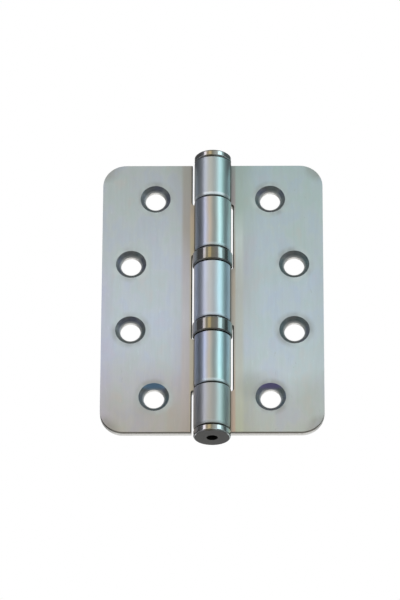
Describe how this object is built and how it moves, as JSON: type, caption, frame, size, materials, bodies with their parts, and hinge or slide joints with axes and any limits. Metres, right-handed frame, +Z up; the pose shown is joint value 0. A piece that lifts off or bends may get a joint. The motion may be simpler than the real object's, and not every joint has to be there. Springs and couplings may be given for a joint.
{
  "type": "loose pin butt hinge with ball thrust bearings",
  "caption": "Flat butt hinge with swaged leaves, curled knuckles, ball thrust bearings between knuckles and a headed pin that lifts out.",
  "frame": {"origin": "on the pin's axis, halfway up the hinge", "axes": "+Z up along the pin towards its head; the leaves lie open along X, the three-knuckle leaf at +X; -Y is the countersunk front side where the knuckles stand out"},
  "size_m": [0.076, 0.0138, 0.1072],
  "materials": {
    "brushed_stainless_left": "brushed along the pin",
    "brushed_stainless_right": "brushed along the pin",
    "satin_turned_steel": "satin turned",
    "polished_steel": "polished",
    "ground_bearing_steel": "ground",
    "pressed_cage_steel": "pressed, matt"
  },
  "bodies": {
    "fixed_leaf": {"right_leaf": "brushed_stainless_right", "bottom_plug": "satin_turned_steel", "upper_bearing_shell": "polished_steel", "upper_bearing_bottom_race": "ground_bearing_steel", "lower_bearing_top_race": "ground_bearing_steel"},
    "swinging_leaf": {"left_leaf": "brushed_stainless_left", "upper_bearing_top_race": "ground_bearing_steel", "lower_bearing_shell": "polished_steel", "lower_bearing_bottom_race": "ground_bearing_steel"},
    "loose_pin": {"hinge_pin": "satin_turned_steel"},
    "upper_ball_set": {"upper_bearing_ball_cage": "pressed_cage_steel", "upper_bearing_ball_01": "ground_bearing_steel", "upper_bearing_ball_02": "ground_bearing_steel", "upper_bearing_ball_03": "ground_bearing_steel", "upper_bearing_ball_04": "ground_bearing_steel", "upper_bearing_ball_05": "ground_bearing_steel", "upper_bearing_ball_06": "ground_bearing_steel", "upper_bearing_ball_07": "ground_bearing_steel", "upper_bearing_ball_08": "ground_bearing_steel", "upper_bearing_ball_09": "ground_bearing_steel", "upper_bearing_ball_10": "ground_bearing_steel"},
    "lower_ball_set": {"lower_bearing_ball_cage": "pressed_cage_steel", "lower_bearing_ball_01": "ground_bearing_steel", "lower_bearing_ball_02": "ground_bearing_steel", "lower_bearing_ball_03": "ground_bearing_steel", "lower_bearing_ball_04": "ground_bearing_steel", "lower_bearing_ball_05": "ground_bearing_steel", "lower_bearing_ball_06": "ground_bearing_steel", "lower_bearing_ball_07": "ground_bearing_steel", "lower_bearing_ball_08": "ground_bearing_steel", "lower_bearing_ball_09": "ground_bearing_steel", "lower_bearing_ball_10": "ground_bearing_steel"}
  },
  "joints": [
    {"name": "leaf_swing", "type": "hinge", "parent": "fixed_leaf", "child": "swinging_leaf", "pos_m": [0, 0, 0], "axis": [0, 0, 1], "range_deg": [-90, 180]},
    {"name": "pin_lift", "type": "slide", "parent": "fixed_leaf", "child": "loose_pin", "axis": [0, 0, 1], "range_m": [0, 0.1]},
    {"name": "upper_ball_set_turn", "type": "hinge", "parent": "fixed_leaf", "child": "upper_ball_set", "pos_m": [0, 0, 0.01345], "axis": [0, 0, 1], "range_deg": [-45, 90]},
    {"name": "lower_ball_set_turn", "type": "hinge", "parent": "fixed_leaf", "child": "lower_ball_set", "pos_m": [0, 0, -0.01345], "axis": [0, 0, 1], "range_deg": [-45, 90]}
  ],
  "couplings": [
    {"joint": "upper_ball_set_turn", "follows": "leaf_swing", "ratio": 0.5},
    {"joint": "lower_ball_set_turn", "follows": "leaf_swing", "ratio": 0.5}
  ]
}
